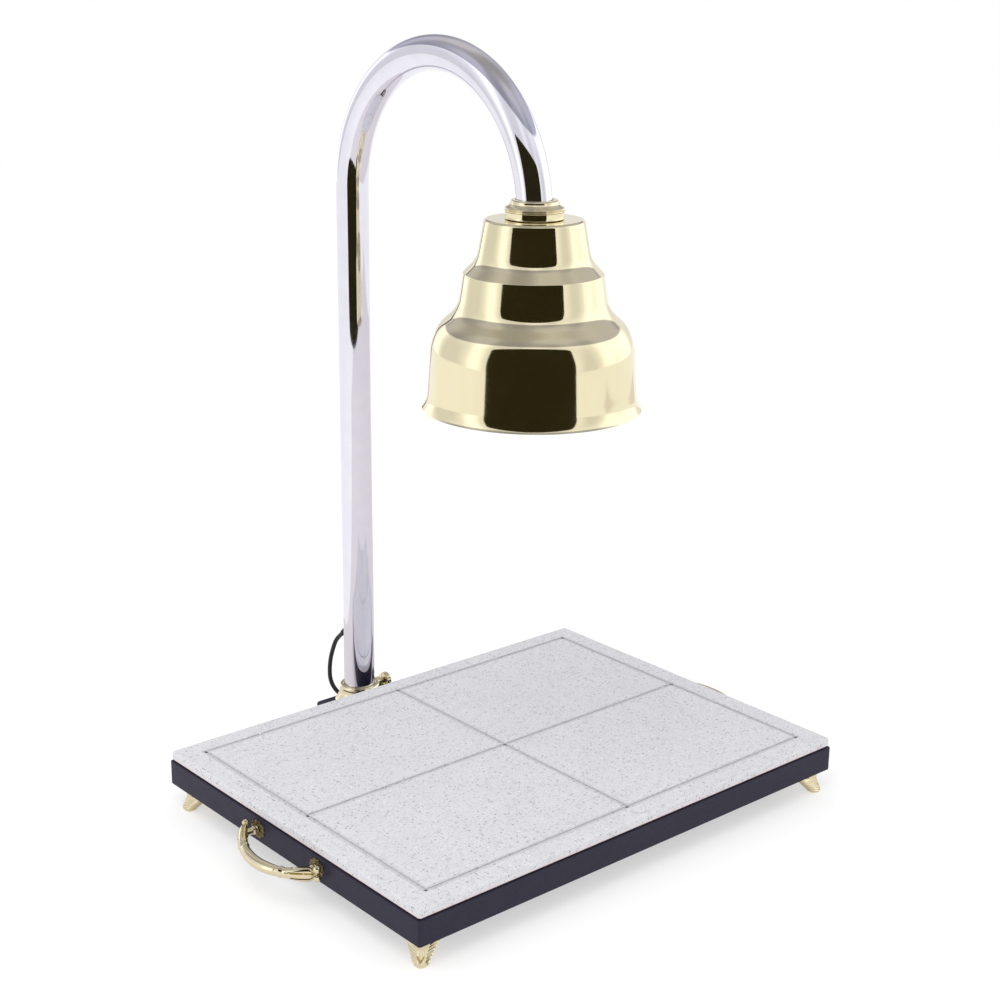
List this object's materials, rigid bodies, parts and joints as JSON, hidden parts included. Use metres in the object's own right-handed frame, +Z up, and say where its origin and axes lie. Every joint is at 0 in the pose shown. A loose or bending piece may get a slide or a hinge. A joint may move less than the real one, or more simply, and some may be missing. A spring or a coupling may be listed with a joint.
{
  "type": "heat lamp warmer",
  "caption": "Stone board in a low black frame on cast feet, with side handles and a hooked chrome post that holds a stepped brass heat lamp shade over the board.",
  "frame": {"origin": "centre of the space taken by the warmer without its loose cord, at the level the feet stand on", "axes": "+Z up, +X along the board's long side, +Y towards the post"},
  "size_m": [0.6984, 0.577, 0.8501],
  "materials": {
    "stone": "satin",
    "black_enamel": "satin",
    "rubber": "matte",
    "zinc_steel": "satin",
    "cork": "matte",
    "polished_brass": "polished",
    "dark_bronze": "polished",
    "chrome": "polished",
    "cord_jacket": "satin",
    "ceramic": "gloss",
    "lamp_glass": "gloss",
    "tip_metal": "satin"
  },
  "bodies": {
    "base": {"stone_board": "stone", "frame_front_rail": "black_enamel", "frame_rear_rail": "black_enamel", "frame_left_rail": "black_enamel", "frame_right_rail": "black_enamel", "gasket_front": "rubber", "gasket_rear": "rubber", "gasket_left": "rubber", "gasket_right": "rubber", "bottom_pan": "black_enamel", "cross_bar_left": "zinc_steel", "cross_bar_centre": "zinc_steel", "cross_bar_right": "zinc_steel", "cork_pad_left": "cork", "cork_pad_centre": "cork", "cork_pad_right": "cork", "foot_front_left": "polished_brass", "foot_front_right": "polished_brass", "foot_rear_left": "polished_brass", "foot_rear_right": "polished_brass", "foot_screws": "zinc_steel", "pan_screws": "zinc_steel", "left_handle": "polished_brass", "right_handle": "polished_brass", "left_handle_rosette_front": "dark_bronze", "left_handle_rosette_rear": "dark_bronze", "right_handle_rosette_front": "dark_bronze", "right_handle_rosette_rear": "dark_bronze", "handle_screws": "zinc_steel", "post_bracket": "black_enamel", "bracket_bolts": "zinc_steel", "bracket_nuts": "zinc_steel", "bracket_spacers": "zinc_steel", "post_socket": "polished_brass", "socket_screws": "zinc_steel", "mains_cord": "cord_jacket", "mains_cord_coil": "cord_jacket", "mains_cord_tail": "cord_jacket", "coil_tie": "cord_jacket", "plug_body": "cord_jacket", "plug_pins": "polished_brass"},
    "post": {"post_tube": "chrome", "cord_relief": "rubber", "cord_end_in_relief": "cord_jacket", "inner_flex": "cord_jacket", "end_insert": "chrome", "neck_nut": "polished_brass", "neck_collar": "polished_brass", "shade": "polished_brass", "shade_washer": "zinc_steel", "lock_nut": "zinc_steel", "lampholder_body": "ceramic", "lampholder_disc": "ceramic", "lampholder_shell": "polished_brass", "lampholder_contact": "polished_brass"},
    "pressure_pad": {"thumbscrew_pad": "rubber"},
    "thumbscrew": {"thumbscrew": "polished_brass"},
    "lamp_tip": {"bulb_tip": "tip_metal"},
    "lamp": {"bulb_glass": "lamp_glass", "bulb_cap": "polished_brass"}
  },
  "joints": [
    {"name": "post_swivel", "type": "hinge", "parent": "base", "child": "post", "pos_m": [0, 0.24145, 0.04], "axis": [0, 0, 1], "range_deg": [-90, 90], "deforming": ["mains_cord"]},
    {"name": "thumbscrew_travel", "type": "slide", "parent": "base", "child": "pressure_pad", "axis": [1, 0, 0], "range_m": [0, 0.002]},
    {"name": "thumbscrew_turn", "type": "hinge", "parent": "pressure_pad", "child": "thumbscrew", "pos_m": [0.036, 0.24145, 0.0434], "axis": [1, 0, 0], "range_deg": [0, 720]},
    {"name": "lamp_travel", "type": "slide", "parent": "post", "child": "lamp_tip", "axis": [0, 0, -1], "range_m": [0, 0.01815]},
    {"name": "lamp_turn", "type": "hinge", "parent": "lamp_tip", "child": "lamp", "pos_m": [0, -0.07605, 0.63], "axis": [0, 0, -1], "range_deg": [0, 1800]}
  ],
  "couplings": [
    {"joint": "thumbscrew_turn", "follows": "thumbscrew_travel", "rad_per_m": 6283.2},
    {"joint": "lamp_turn", "follows": "lamp_travel", "rad_per_m": 1731.4}
  ]
}
